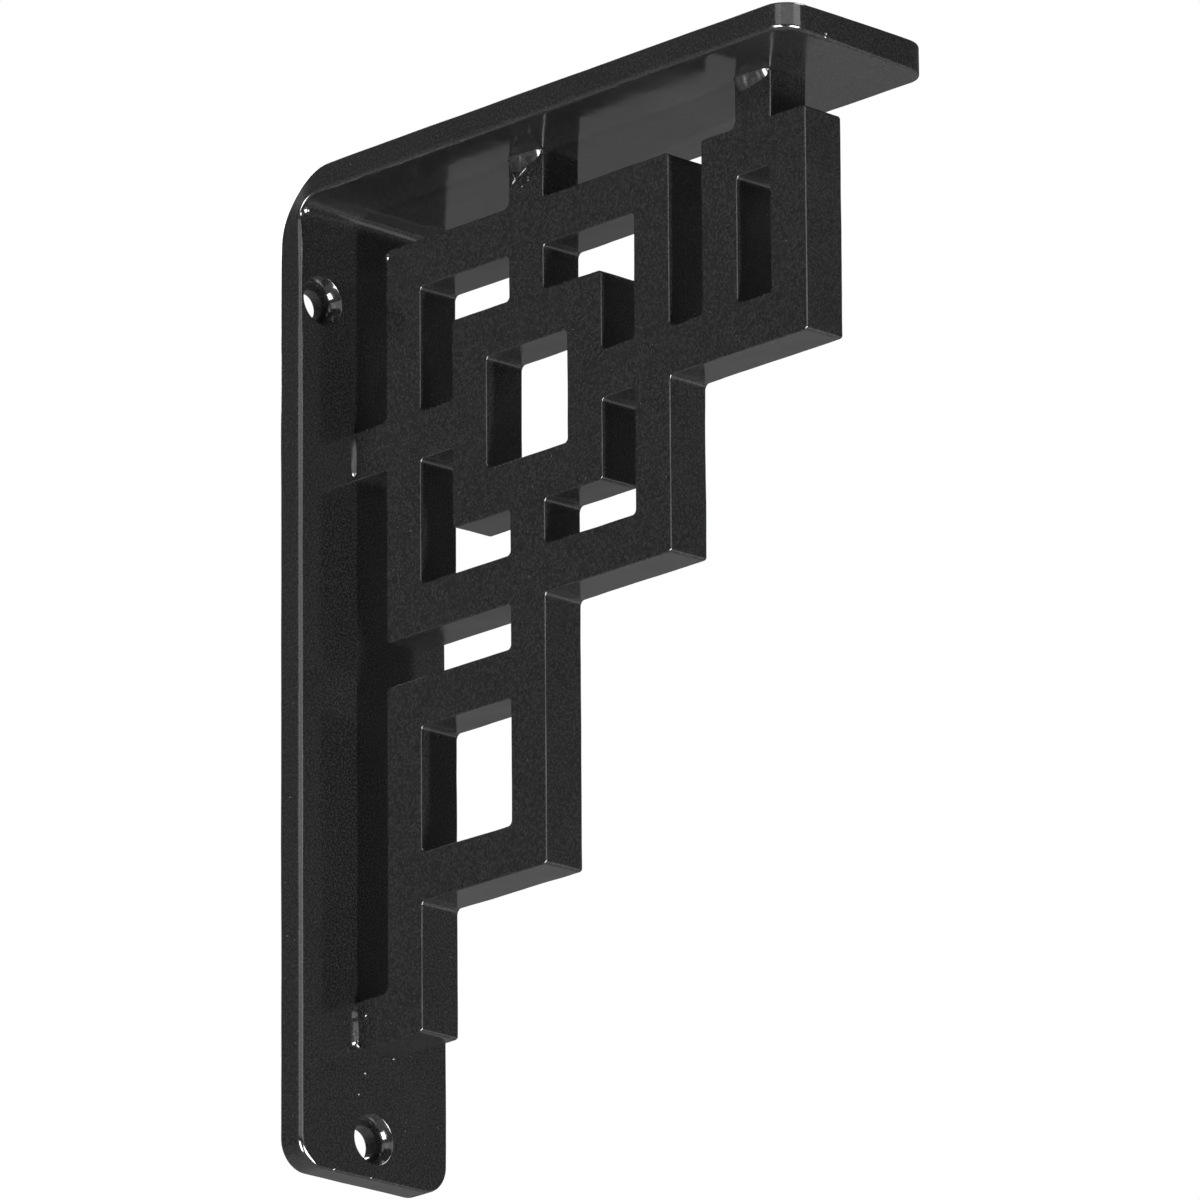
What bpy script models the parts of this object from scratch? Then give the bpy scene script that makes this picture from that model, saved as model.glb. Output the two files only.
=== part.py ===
"""Black painted wrought iron shelf bracket, 2 x 7 1/2 x 10 1/2 inches.

A flat bar is bent square into an upright leg and a level arm. An openwork plate of squares
stands on edge in the corner, and its four tabs are welded to the bar.

Metres, +Z up. The back of the leg lies in the plane X = 0, against the wall, and the arm
reaches out along +X. The width runs along Y. The origin is at mid height of the back face.
"""

import math

import bmesh
import bpy
from mathutils import Matrix, Vector

# Bent flat bar
BAR_WIDTH = 0.0508
BAR_THICK = 0.0080
BAR_HEIGHT = 0.2667
BAR_REACH = 0.1905
BEND_OUTER_RADIUS = 0.0180
BEND_INNER_RADIUS = 0.0040
TIP_RADIUS = 0.0080
BAR_EDGE = 0.0010

# Countersunk screw holes in the leg
HOLE_RADIUS = 0.0044
SINK_RADIUS = 0.0067
UPPER_HOLE_DROP = 0.0335
UPPER_HOLE_OFFSET = 0.0174
LOWER_HOLE_RISE = 0.0108

# Openwork plate: bars and narrow gaps are one unit wide
PLATE_THICK = 0.0127
UNIT = 0.0126
SQUARE_OPENING = 0.0308
STANDOFF = 0.0128
STUB_DROP = 0.0343
CUT_RADIUS = 0.0015
TAB_RADIUS = 0.0023
PLATE_EDGE = 0.0004

# Welds: how far each runs up the tab, out over the bar, and past the tab's ends
ARM_WELD = (0.0042, 0.0032, 0.0007)
LEG_WELD = (0.0026, 0.0024, -0.0008)
WELD_END_ROUNDING = 0.0014

# Clearance between neighbouring pieces
GAP = 0.0003

# Black paint: colour and roughness
BAR_PAINT = ((0.018, 0.018, 0.018), 0.32)
PLATE_PAINT = ((0.020, 0.020, 0.020), 0.36)
WELD_PAINT = ((0.022, 0.022, 0.022), 0.28)

# Facets
BEND_STEPS = 9
CORNER_STEPS = 5
TIP_STEPS = 7
HOLE_STEPS = 32
WELD_STEPS = 20
WELD_END_STEPS = 3
BAR_EDGE_STEPS = 2
PLATE_EDGE_STEPS = 1

# Working tolerances
CUTTER_OVERRUN = 0.0020
NEAR = 0.0003
MERGE_DISTANCE = 0.00001
FLAT_ANGLE = math.radians(0.5)
SHARP_ANGLE = math.radians(40)

TOP = BAR_HEIGHT / 2
BOTTOM = -BAR_HEIGHT / 2
QUARTER_TURN = math.pi / 2


def clear_scene():
    """Remove every object of the starting scene."""
    for obj in list(bpy.data.objects):
        bpy.data.objects.remove(obj, do_unlink=True)


def new_collection(name):
    """Make a collection in the scene."""
    collection = bpy.data.collections.new(name)
    bpy.context.scene.collection.children.link(collection)
    return collection


def paint(name, finish):
    """Black paint over iron: a dielectric coat, so it is not metallic."""
    colour, roughness = finish
    material = bpy.data.materials.new(name)
    material.use_nodes = True
    shader = material.node_tree.nodes["Principled BSDF"]
    shader.inputs["Base Color"].default_value = (*colour, 1.0)
    shader.inputs["Roughness"].default_value = roughness
    shader.inputs["Metallic"].default_value = 0.0
    return material


def rounded_outline(corners, steps):
    """Turn square corners (x, z, radius) into outline points, with an arc at each radius."""
    points = []
    count = len(corners)
    for i, (x, z, radius) in enumerate(corners):
        corner = Vector((x, z))
        if radius == 0:
            points.append(corner)
            continue
        to_last = (Vector(corners[i - 1][:2]) - corner).normalized()
        to_next = (Vector(corners[(i + 1) % count][:2]) - corner).normalized()
        centre = corner + (to_last + to_next) * radius
        for k in range(steps + 1):
            angle = QUARTER_TURN * k / steps
            points.append(centre - (to_next * math.cos(angle) + to_last * math.sin(angle)) * radius)
    return points


def flat_plate(name, outlines, thickness):
    """Fill nested outlines drawn in X and Z, and give them a thickness along Y."""
    curve = bpy.data.curves.new(name + "_outline", "CURVE")
    curve.dimensions = "2D"
    curve.fill_mode = "BOTH"
    curve.extrude = thickness / 2
    for outline in outlines:
        spline = curve.splines.new("POLY")
        spline.points.add(len(outline) - 1)
        for point, (x, z) in zip(spline.points, outline):
            point.co = (x, z, 0.0, 1.0)
        spline.use_cyclic_u = True
    drawn = bpy.data.objects.new(name + "_outline", curve)
    drawn.rotation_euler = (QUARTER_TURN, 0.0, 0.0)
    bpy.context.scene.collection.objects.link(drawn)
    bpy.context.view_layer.update()
    evaluated = drawn.evaluated_get(bpy.context.evaluated_depsgraph_get())
    mesh = bpy.data.meshes.new_from_object(evaluated)
    mesh.name = name
    mesh.transform(drawn.matrix_world)
    bpy.data.objects.remove(drawn, do_unlink=True)
    work = bmesh.new()
    work.from_mesh(mesh)
    bmesh.ops.remove_doubles(work, verts=work.verts, dist=MERGE_DISTANCE)
    bmesh.ops.dissolve_limit(work, angle_limit=FLAT_ANGLE, verts=work.verts, edges=work.edges)
    bmesh.ops.recalc_face_normals(work, faces=work.faces)
    work.to_mesh(mesh)
    work.free()
    return mesh


def place(name, mesh, collection, material, matrix=None):
    """Make a mesh a named object of the bracket, smooth where its facets stand for a round."""
    mesh.materials.clear()
    mesh.materials.append(material)
    mesh.shade_smooth()
    mesh.set_sharp_from_angle(angle=SHARP_ANGLE)
    obj = bpy.data.objects.new(name, mesh)
    obj.matrix_world = matrix or Matrix.Identity(4)
    collection.objects.link(obj)
    return obj


def soften_edges(obj, width, segments):
    """Round the sharp edges, and leave the shallow facets of arcs alone."""
    bevel = obj.modifiers.new("softened edges", "BEVEL")
    bevel.width = width
    bevel.segments = segments
    bevel.limit_method = "ANGLE"
    bevel.angle_limit = SHARP_ANGLE


def round_tip_corners(mesh):
    """Round the two corners at the leg's foot and the two at the arm's tip, seen on the flat."""
    work = bmesh.new()
    work.from_mesh(mesh)
    side = BAR_WIDTH / 2

    def at_tip(edge):
        a, b = (vert.co for vert in edge.verts)
        on_side = min(abs(a.y), abs(b.y)) > side - NEAR and a.y * b.y > 0
        at_foot = max(a.z, b.z) < BOTTOM + NEAR
        at_arm_end = min(a.x, b.x) > BAR_REACH - NEAR
        return on_side and (at_foot or at_arm_end)

    edges = [edge for edge in work.edges if at_tip(edge)]
    bmesh.ops.bevel(work, geom=edges, offset=TIP_RADIUS, segments=TIP_STEPS, profile=0.5, affect="EDGES")
    work.to_mesh(mesh)
    work.free()


def hole_cutter(name, y, z, collection):
    """A turned plug, narrow at the wall and flared at 90 degrees to the room side of the leg."""
    sink_depth = SINK_RADIUS - HOLE_RADIUS
    mouth = BAR_THICK + CUTTER_OVERRUN
    profile = [
        (0.0, mouth),
        (SINK_RADIUS + CUTTER_OVERRUN, mouth),
        (HOLE_RADIUS, BAR_THICK - sink_depth),
        (HOLE_RADIUS, -CUTTER_OVERRUN),
        (0.0, -CUTTER_OVERRUN),
    ]
    vertices = [(radius, 0.0, height) for radius, height in profile]
    edges = [(i, i + 1) for i in range(len(profile) - 1)]
    mesh = bpy.data.meshes.new(name)
    mesh.from_pydata(vertices, edges, [])
    cutter = bpy.data.objects.new(name, mesh)
    cutter.location = (0.0, y, z)
    cutter.rotation_euler = (0.0, QUARTER_TURN, 0.0)
    cutter.hide_render = True
    cutter.display_type = "WIRE"
    screw = cutter.modifiers.new("turned", "SCREW")
    screw.steps = HOLE_STEPS
    screw.render_steps = HOLE_STEPS
    screw.use_merge_vertices = True
    screw.merge_threshold = MERGE_DISTANCE
    collection.objects.link(cutter)
    return cutter


def make_bent_bar(parts, cutters):
    """The flat bar, bent at the top of the leg, with its tips rounded and its holes bored."""
    inner_x = BAR_THICK
    inner_z = TOP - BAR_THICK
    outer_corners = [(0.0, BOTTOM, 0), (0.0, TOP, BEND_OUTER_RADIUS), (BAR_REACH, TOP, 0)]
    inner_corners = [(BAR_REACH, inner_z, 0), (inner_x, inner_z, BEND_INNER_RADIUS), (inner_x, BOTTOM, 0)]
    outline = rounded_outline(outer_corners + inner_corners, BEND_STEPS)
    mesh = flat_plate("bent_flat_bar", [outline], BAR_WIDTH)
    round_tip_corners(mesh)
    bar = place("bent_flat_bar", mesh, parts, paint("bar paint", BAR_PAINT))
    soften_edges(bar, BAR_EDGE, BAR_EDGE_STEPS)
    upper_z = TOP - UPPER_HOLE_DROP
    holes = [
        ("upper_left_hole", -UPPER_HOLE_OFFSET, upper_z),
        ("upper_right_hole", UPPER_HOLE_OFFSET, upper_z),
        ("lower_hole", 0.0, BOTTOM + LOWER_HOLE_RISE),
    ]
    for name, y, z in holes:
        cut = bar.modifiers.new(name, "BOOLEAN")
        cut.operation = "DIFFERENCE"
        cut.solver = "EXACT"
        cut.object = hole_cutter(name, y, z, cutters)


def rectangle(left, bottom, right, top):
    """A rectangular opening with the cutter's radius in its corners."""
    corners = [(left, bottom), (right, bottom), (right, top), (left, top)]
    return [(x, z, CUT_RADIUS) for x, z in corners]


def plate_grid():
    """The lines of the openwork: across from the leg in X, and down from the arm in Z.

    The large square ring holds a smaller one, a unit away, tied to it by four bars at its middle.
    Index k of xs or zs is the k-th line from the leg or from the arm.
    """
    half_tie = (SQUARE_OPENING - UNIT) / 2
    steps = [UNIT, UNIT, UNIT, half_tie, UNIT, half_tie, UNIT, UNIT, UNIT]
    xs = [BAR_THICK + STANDOFF]
    zs = [TOP - BAR_THICK - STANDOFF]
    for step in steps:
        xs.append(xs[-1] + step)
        zs.append(zs[-1] - step)
    return xs, zs


def make_openwork_plate(parts):
    """One plate cut through: the large ring, a ring below it, a ring beside it, a stub and tabs.

    Return where the tabs meet the arm, in X, and where they meet the leg, in Z.
    """
    xs, zs = plate_grid()
    left, right = xs[0], xs[9]
    top, bottom = zs[0], zs[9]
    tie_x0, tie_x1 = xs[4], xs[5]
    tie_z0, tie_z1 = zs[4], zs[5]
    side_left = right + UNIT
    side_window_left = side_left + UNIT
    side_window_right = side_window_left + UNIT
    side_right = side_window_right + UNIT
    low_top = bottom - UNIT
    low_window_top = low_top - UNIT
    low_window_bottom = low_window_top - (tie_x0 - xs[1])
    low_bottom = low_window_bottom - UNIT
    stub_bottom = low_bottom - STUB_DROP
    stub_right = xs[1]
    arm_face = TOP - BAR_THICK - GAP
    leg_face = BAR_THICK + GAP
    r = CUT_RADIUS
    tab_r = TAB_RADIUS

    outline = [
        (left, top, 0),
        (tie_x0, top, tab_r), (tie_x0, arm_face, 0), (tie_x1, arm_face, 0), (tie_x1, top, 0),
        (right, top, 0),
        (right, tie_z0, r), (side_left, tie_z0, r),
        (side_left, top, 0),
        (side_window_left, top, tab_r), (side_window_left, arm_face, 0),
        (side_window_right, arm_face, 0), (side_window_right, top, 0),
        (side_right, top, 0), (side_right, tie_z1, 0),
        (right, tie_z1, r), (right, bottom, 0),
        (tie_x1, bottom, r), (tie_x1, low_bottom, 0),
        (stub_right, low_bottom, r), (stub_right, stub_bottom, 0),
        (leg_face, stub_bottom, 0), (leg_face, stub_bottom + UNIT, 0),
        (left, stub_bottom + UNIT, tab_r), (left, low_top, 0),
        (tie_x0, low_top, r), (tie_x0, bottom, r),
        (left, bottom, 0),
        (left, tie_z1, 0), (leg_face, tie_z1, 0), (leg_face, tie_z0, 0), (left, tie_z0, tab_r),
    ]
    windows = [
        rectangle(xs[3], zs[6], xs[6], zs[3]),
        rectangle(stub_right, low_window_bottom, tie_x0, low_window_top),
        rectangle(side_window_left, tie_z0, side_window_right, zs[1]),
    ]
    # The frame between the two rings is cut into four L-shaped windows, one for each corner:
    # its outer corner, the same corner of the inner ring, and the bars that tie the rings.
    left_window, right_window = (xs[1], xs[2], tie_x0), (xs[8], xs[7], tie_x1)
    upper_window, lower_window = (zs[1], zs[2], tie_z0), (zs[8], zs[7], tie_z1)
    for far_x, near_x, tie_x in (left_window, right_window):
        for far_z, near_z, tie_z in (upper_window, lower_window):
            windows.append([
                (far_x, far_z, r), (tie_x, far_z, r), (tie_x, near_z, r),
                (near_x, near_z, 0), (near_x, tie_z, r), (far_x, tie_z, r),
            ])
    outlines = [rounded_outline(shape, CORNER_STEPS) for shape in [outline, *windows]]
    mesh = flat_plate("openwork_plate", outlines, PLATE_THICK)
    plate = place("openwork_plate", mesh, parts, paint("plate paint", PLATE_PAINT))
    soften_edges(plate, PLATE_EDGE, PLATE_EDGE_STEPS)
    arm_tab_xs = ((tie_x0 + tie_x1) / 2, (side_window_left + side_window_right) / 2)
    leg_tab_zs = ((tie_z0 + tie_z1) / 2, stub_bottom + UNIT / 2)
    return arm_tab_xs, leg_tab_zs


def bead_mesh(name, weld):
    """A quarter of a round-ended rod: X runs up the tab, Y over the bar, and Z along the bead."""
    up_tab, over_bar, past_end = weld
    length = UNIT + 2 * past_end
    work = bmesh.new()
    bmesh.ops.create_cone(work, cap_ends=True, segments=WELD_STEPS, radius1=1.0, radius2=1.0, depth=length)
    bmesh.ops.scale(work, vec=(up_tab, over_bar, 1.0), verts=work.verts)
    rims = [edge for edge in work.edges if abs(edge.verts[0].co.z - edge.verts[1].co.z) < NEAR]
    bmesh.ops.bevel(work, geom=rims, offset=WELD_END_ROUNDING, segments=WELD_END_STEPS, profile=0.5,
                    affect="EDGES")
    for normal in (Vector((1.0, 0.0, 0.0)), Vector((0.0, 1.0, 0.0))):
        geometry = [*work.verts, *work.edges, *work.faces]
        bmesh.ops.bisect_plane(work, geom=geometry, plane_co=normal * GAP, plane_no=normal,
                               clear_inner=True)
        bmesh.ops.holes_fill(work, edges=work.edges)
    mesh = bpy.data.meshes.new(name)
    work.to_mesh(mesh)
    work.free()
    return mesh


def make_welds(parts, arm_tab_xs, leg_tab_zs):
    """A bead along both sides of each tab, where the tab meets the arm or the leg."""
    material = paint("weld paint", WELD_PAINT)
    arm_bead = bead_mesh("arm_weld", ARM_WELD)
    leg_bead = bead_mesh("leg_weld", LEG_WELD)
    down = Vector((0.0, 0.0, -1.0))
    out = Vector((1.0, 0.0, 0.0))
    tabs = []
    for label, x in zip(("arm_inner", "arm_outer"), arm_tab_xs):
        tabs.append((label, Vector((x, 0.0, TOP - BAR_THICK)), down, arm_bead))
    for label, z in zip(("leg_upper", "leg_lower"), leg_tab_zs):
        tabs.append((label, Vector((BAR_THICK, 0.0, z)), out, leg_bead))
    for label, foot, along_tab, mesh in tabs:
        for hand, sign in (("left", -1.0), ("right", 1.0)):
            over_bar = Vector((0.0, sign, 0.0))
            turned = Matrix((along_tab, over_bar, along_tab.cross(over_bar))).transposed().to_4x4()
            corner = Matrix.Translation(foot + over_bar * PLATE_THICK / 2)
            place(f"weld_{label}_{hand}", mesh, parts, material, corner @ turned)


def main():
    """Build the bracket."""
    clear_scene()
    parts = new_collection("wrought_iron_bracket")
    cutters = new_collection("cutters")
    make_bent_bar(parts, cutters)
    arm_tab_xs, leg_tab_zs = make_openwork_plate(parts)
    make_welds(parts, arm_tab_xs, leg_tab_zs)


main()
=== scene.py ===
"""Looks of a black painted iron shelf bracket: a bent flat bar, an openwork plate and its welds.

Every piece is a surface worked out with numpy in metres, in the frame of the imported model: +X out
from the wall along the arm, +Y across the width, +Z up the leg, origin at mid height of the back.
"""

import logging
import math
from collections.abc import Sequence
from dataclasses import dataclass, field
from enum import Enum

import bpy
import numpy as np
from mathutils import Matrix, Vector
from mathutils.geometry import delaunay_2d_cdt


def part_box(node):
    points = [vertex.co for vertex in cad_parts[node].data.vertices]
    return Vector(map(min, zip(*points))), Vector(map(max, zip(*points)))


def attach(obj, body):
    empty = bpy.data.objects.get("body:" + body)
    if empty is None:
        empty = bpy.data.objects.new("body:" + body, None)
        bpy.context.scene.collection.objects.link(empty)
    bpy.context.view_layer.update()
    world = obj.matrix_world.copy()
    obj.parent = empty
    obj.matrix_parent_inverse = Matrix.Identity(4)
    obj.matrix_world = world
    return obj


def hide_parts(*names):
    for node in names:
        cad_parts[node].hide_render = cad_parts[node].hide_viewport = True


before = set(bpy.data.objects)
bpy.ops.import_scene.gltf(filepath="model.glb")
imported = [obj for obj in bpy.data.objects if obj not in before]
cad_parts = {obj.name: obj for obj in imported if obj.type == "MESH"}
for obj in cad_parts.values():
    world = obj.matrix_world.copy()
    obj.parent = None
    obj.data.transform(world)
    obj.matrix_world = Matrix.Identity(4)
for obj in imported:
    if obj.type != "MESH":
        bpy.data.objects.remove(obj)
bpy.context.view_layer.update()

LOG = logging.getLogger("bracket")
MM = 0.001
QUARTER = math.pi / 2
BODY = "root"
LEAD = 0.06 * MM  # the flat strip beside every rounded edge
BLOCK = 2000  # points worked on at a time
SAME_PLACE = 1e-12  # metres within which two points count as one
LEFT, ROOM = (0.0, -1.0, 0.0), (1.0, 0.0, 0.0)  # out of the left side, and out into the room


class Hand(Enum):
    """The two sides of the plate, seen from the room: the sign is that of Y."""

    LEFT = -1
    RIGHT = 1


class Part(Enum):
    """What a light adds: the paint's soft lightness, or its shine."""

    SOFT = "diffuse"
    SHINE = "glossy"


class Slot(Enum):
    """The record's material slots."""

    BLACK = "black_paint"
    WELD = "weld_paint"


# Outlines and edges


@dataclass
class Loop:
    """A closed line with the material on its left.

    Points are (n, 2), and normals are unit vectors that point out of the material.
    """

    points: np.ndarray
    normals: np.ndarray


def rounded_loop(corners: Sequence[tuple[float, float, float]], pitch: float, arc_steps: int) -> Loop:
    """Draw a closed outline through corners, each rounded by an arc that is tangent to both sides.

    At a corner of turn T and radius R the arc starts R tan(T / 2) before the corner. Its points lie
    at R from a centre on the inner side of the turn, one for each equal step of the heading.

    Args:
        corners: (u, v, radius) in order, with the material on the left.
        pitch: the longest step along a straight side.
        arc_steps: the steps in each arc.

    Returns:
        The outline's points and outward normals.
    """
    places = np.array([corner[:2] for corner in corners])
    ways = np.roll(places, -1, axis=0) - places
    ways /= np.linalg.norm(ways, axis=1, keepdims=True)
    befores = np.roll(ways, 1, axis=0)
    turns = [
        math.atan2(before[0] * way[1] - before[1] * way[0], before @ way)
        for before, way in zip(befores, ways)
    ]
    cuts = [corner[2] * abs(math.tan(turn / 2)) for corner, turn in zip(corners, turns)]
    points, normals = [], []
    for i, before in enumerate(befores):
        start = places[i] - before * cuts[i]
        angle = math.atan2(before[1], before[0]) + turns[i] * np.linspace(0, 1, arc_steps + 1)
        outward = np.column_stack([np.sin(angle), -np.cos(angle)])
        radius = math.copysign(corners[i][2], turns[i])
        centre = start - outward[0] * radius
        arc = centre + outward * radius
        after = (i + 1) % len(corners)
        end = places[after] - ways[i] * cuts[after]
        steps = max(1, math.ceil(np.linalg.norm(end - arc[-1]) / pitch))
        share = np.linspace(0, 1, steps + 1)[1:-1, None]
        straight = arc[-1] + (end - arc[-1]) * share
        points += [arc, straight]
        normals += [outward, np.repeat(outward[-1:], len(straight), axis=0)]
    return Loop(np.vstack(points), np.vstack(normals))


def round_hole(u: float, v: float, radius: float, steps: int) -> Loop:
    """Draw a round hole: a circle run clockwise, so that the material is on its left.

    Args:
        u: the centre's place along u.
        v: the centre's place along v.
        radius: the bore's radius.
        steps: the points on the circle.

    Returns:
        The circle, with normals towards its centre.
    """
    angle = np.linspace(0, -2 * math.pi, steps, endpoint=False)
    ray = np.column_stack([np.cos(angle), np.sin(angle)])
    return Loop(np.array([u, v]) + ray * radius, -ray)


def rounded_edge(
    thickness: float,
    front: np.ndarray | float,
    back: np.ndarray | float,
    steps: int,
    pitch: float,
    taper: float = 0.0,
) -> np.ndarray:
    """Carry a sheet's edge round from its front face to its back face.

    A quarter circle leaves each face, and a short flat lead beside it keeps the face's shading flat.
    A tapered side leans out by an even amount for each step down.

    Args:
        thickness: the sheet's thickness.
        front: the rounding of the front edge, at every point of the outline or one for all.
        back: the rounding of the back edge, likewise.
        steps: the steps in each quarter circle.
        pitch: the longest step across the side.
        taper: how much wider the back face is, on each side.

    Returns:
        (m, n, 2): how far in from the outline each row of points lies, and how deep.
    """
    front, back = np.broadcast_arrays(np.atleast_1d(front), np.atleast_1d(back))
    angle = np.linspace(0, QUARTER, steps + 1)[:, None]
    inward, down = 1 - np.sin(angle), 1 - np.cos(angle)
    near, far = front + LEAD, thickness - back - LEAD
    middle = near + (far - near) * np.linspace(0, 1, max(2, math.ceil(thickness / pitch)) + 1)[:, None]
    moved = np.vstack([[near], front * inward, 0 * middle, back * inward[::-1], [back + LEAD]])
    ends = np.zeros_like(front), np.full_like(front, thickness)
    depth = np.vstack([[ends[0]], front * down, middle, thickness - back * down[::-1], [ends[1]]])
    return np.stack([moved - taper * depth / thickness, depth], axis=-1)


def sunk_edge(thickness: float, sink: float, rim: float, cone: float, steps: int) -> np.ndarray:
    """Carry a screw hole's edge down its 90 degree sink and bore, with painted, rounded corners.

    The rim turns from the face to the cone through 45 degrees at radius rim. Thick paint fills the
    sink's throat, so after a short cone a wide arc turns through the other 45 degrees into the bore.
    Its radius is such that both arcs and the cone make up the slope. The back corner is a quarter
    circle of radius rim.

    Args:
        thickness: the sheet's thickness.
        sink: how much wider the sink's mouth is than the bore, which is also its depth.
        rim: the radius at the mouth and at the back.
        cone: the length of slope that stays straight.
        steps: the steps in each rounding.

    Returns:
        (m, 1, 2): how far out from the bore each row of points lies, and how deep.
    """
    half = np.linspace(0, QUARTER / 2, steps + 1)
    mouth = sink + rim * math.tan(QUARTER / 4)
    upper = np.column_stack([mouth - rim * np.sin(half), rim * (1 - np.cos(half))])
    throat = (math.sqrt(2) * sink - cone) / math.tan(QUARTER / 4) - rim
    floor = sink + throat * math.tan(QUARTER / 4)
    lower_angle = QUARTER / 2 + half
    lower = np.column_stack([throat * (1 - np.sin(lower_angle)), floor - throat * np.cos(lower_angle)])
    bore_rows = 3
    bore = np.linspace(floor, thickness - rim, bore_rows + 2)[1:-1]
    wall = np.column_stack([np.zeros_like(bore), bore])
    full = np.linspace(0, QUARTER, steps + 1)[::-1]
    back = np.column_stack([rim * (1 - np.sin(full)), thickness - rim * (1 - np.cos(full))])
    start, end = [mouth + LEAD, 0.0], [rim + LEAD, thickness]
    return np.vstack([start, upper, lower, wall, back, end])[:, None]


# Sheets


@dataclass
class Surface:
    """A closed mesh as arrays: points (n, 3), quads (k, 4) and triangles (t, 3)."""

    points: np.ndarray
    quads: np.ndarray
    triangles: np.ndarray


def blocks(points: np.ndarray) -> list[np.ndarray]:
    """Part points into blocks, which spares memory."""
    return np.array_split(points, max(1, len(points) // BLOCK))


def inside(points: np.ndarray, rings: Sequence[np.ndarray]) -> np.ndarray:
    """Find which points lie in the material, by counting the ring sides that a ray crosses.

    A ray along +u from a point inside crosses the sides of all the rings an odd number of times.

    Args:
        points: (n, 2).
        rings: closed lines, the outline and its holes.

    Returns:
        (n,) booleans.
    """
    start = np.vstack(rings)
    end = np.vstack([np.roll(ring, -1, axis=0) for ring in rings])
    rise = np.where(end[:, 1] == start[:, 1], 1.0, end[:, 1] - start[:, 1])
    odd = []
    for block in blocks(points):
        u, v = block[:, :1], block[:, 1:]
        spans = (start[:, 1] > v) != (end[:, 1] > v)
        crossing = start[:, 0] + (v - start[:, 1]) * (end[:, 0] - start[:, 0]) / rise
        odd.append((spans & (u < crossing)).sum(axis=1) % 2 == 1)
    return np.concatenate(odd)


def clear_of(points: np.ndarray, rings: Sequence[np.ndarray], distance: float) -> np.ndarray:
    """Find which points keep a distance from every ring point.

    Args:
        points: (n, 2).
        rings: the outline and its holes.
        distance: how far a point has to be.

    Returns:
        (n,) booleans.
    """
    edge = np.vstack(rings)
    clear = []
    for block in blocks(points):
        apart = ((block[:, None, :] - edge[None]) ** 2).sum(axis=2)
        clear.append(apart.min(axis=1) > distance**2)
    return np.concatenate(clear)


def fill_face(
    rings: Sequence[np.ndarray], lattice: np.ndarray, keep: float
) -> tuple[np.ndarray, np.ndarray]:
    """Fill a face between its rings with triangles over the lattice points that lie in it.

    The triangulation keeps every ring side, and triangles whose middle is in a hole are dropped.

    Args:
        rings: the outline and its holes, on this face.
        lattice: (n, 2) points to choose from.
        keep: the least distance from a lattice point to a ring.

    Returns:
        The lattice points used, and triangles that index the ring points and then those.
    """
    chosen = lattice[inside(lattice, rings)]
    chosen = chosen[clear_of(chosen, rings, keep)]
    points = np.vstack([*rings, chosen])
    starts = np.cumsum([0, *[len(ring) for ring in rings]])
    sides = []
    for first, ring in zip(starts, rings):
        index = first + np.arange(len(ring))
        sides.append(np.column_stack([index, np.roll(index, -1)]))
    made = delaunay_2d_cdt(points.tolist(), np.vstack(sides).tolist(), [], 0, SAME_PLACE)
    if len(made[0]) != len(points):
        raise ValueError("the rings of a face cross or touch")
    triangles = np.array(made[2])
    middle = points[triangles].mean(axis=1)
    return chosen, triangles[inside(middle, rings)]


def band(grid: np.ndarray, turn_over: bool = False) -> np.ndarray:
    """Join each row of points to the next with quads. A row is a closed ring.

    Args:
        grid: (rows, count) point numbers.
        turn_over: whether the quads face the other way.

    Returns:
        (n, 4) point numbers.
    """
    turned = np.roll(grid, -1, axis=1)
    first, *others = grid[:-1], turned[:-1], turned[1:], grid[1:]
    corners = [first, *(others[::-1] if turn_over else others)]
    return np.stack(corners, axis=-1).reshape(-1, 4)


def build_sheet(
    edges: Sequence[tuple[Loop, np.ndarray]], lattice: np.ndarray, thickness: float, keep: float
) -> Surface:
    """Make a closed sheet in (u, v, depth): each loop carried through its edge, and two filled faces.

    Row k of a loop's points is the outline moved in by profile[k, :, 0] at depth profile[k, :, 1].
    Depth points along u x v, so the sides face out, the front face is turned over and the back is
    not.

    Args:
        edges: (loop, profile) pairs, the outline first and then the holes.
        lattice: (n, 2) points to choose from for both faces.
        thickness: the sheet's thickness.
        keep: the least distance from a lattice point to an edge.

    Returns:
        The sheet in its own space.
    """
    flats, grids, points, quads, triangles = [], [], [], [], []
    total = 0
    for loop, profile in edges:
        flat = loop.points[None] - loop.normals[None] * profile[..., :1]
        rows, count = flat.shape[:2]
        depth = np.broadcast_to(profile[..., 1:], (rows, count, 1))
        grid = total + np.arange(rows * count).reshape(rows, count)
        points.append(np.concatenate([flat, depth], axis=2).reshape(-1, 3))
        quads.append(band(grid))
        flats.append(flat)
        grids.append(grid)
        total += rows * count
    for row, level, turn_over in ((0, 0.0, True), (-1, thickness, False)):
        chosen, found = fill_face([flat[row] for flat in flats], lattice, keep)
        rings = [grid[row] for grid in grids]
        numbers = np.concatenate([*rings, total + np.arange(len(chosen))])
        triangles.append(numbers[found[:, ::-1] if turn_over else found])
        points.append(np.column_stack([chosen, np.full(len(chosen), level)]))
        total += len(chosen)
    return Surface(np.vstack(points), np.vstack(quads), np.vstack(triangles))


def staggered_lattice(u: np.ndarray, v: np.ndarray) -> np.ndarray:
    """Lay points on the lines u and v, with every second row moved by half a step along v.

    Args:
        u: the rows' places, rising.
        v: the columns' places, rising and evenly spaced.

    Returns:
        (n, 2) points.
    """
    row, column = np.meshgrid(u, v, indexing="ij")
    shift = (np.arange(len(u)) % 2)[:, None] * (v[1] - v[0]) / 2
    return np.column_stack([row.ravel(), (column + shift).ravel()])


# Uneven paint


@dataclass(frozen=True)
class Wave:
    """Unevenness of one size: its height and the length over which it rises and falls."""

    height: float
    length: float
    seed: int
    count: int = 14
    spread: tuple[float, float] = (0.65, 1.6)


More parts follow.
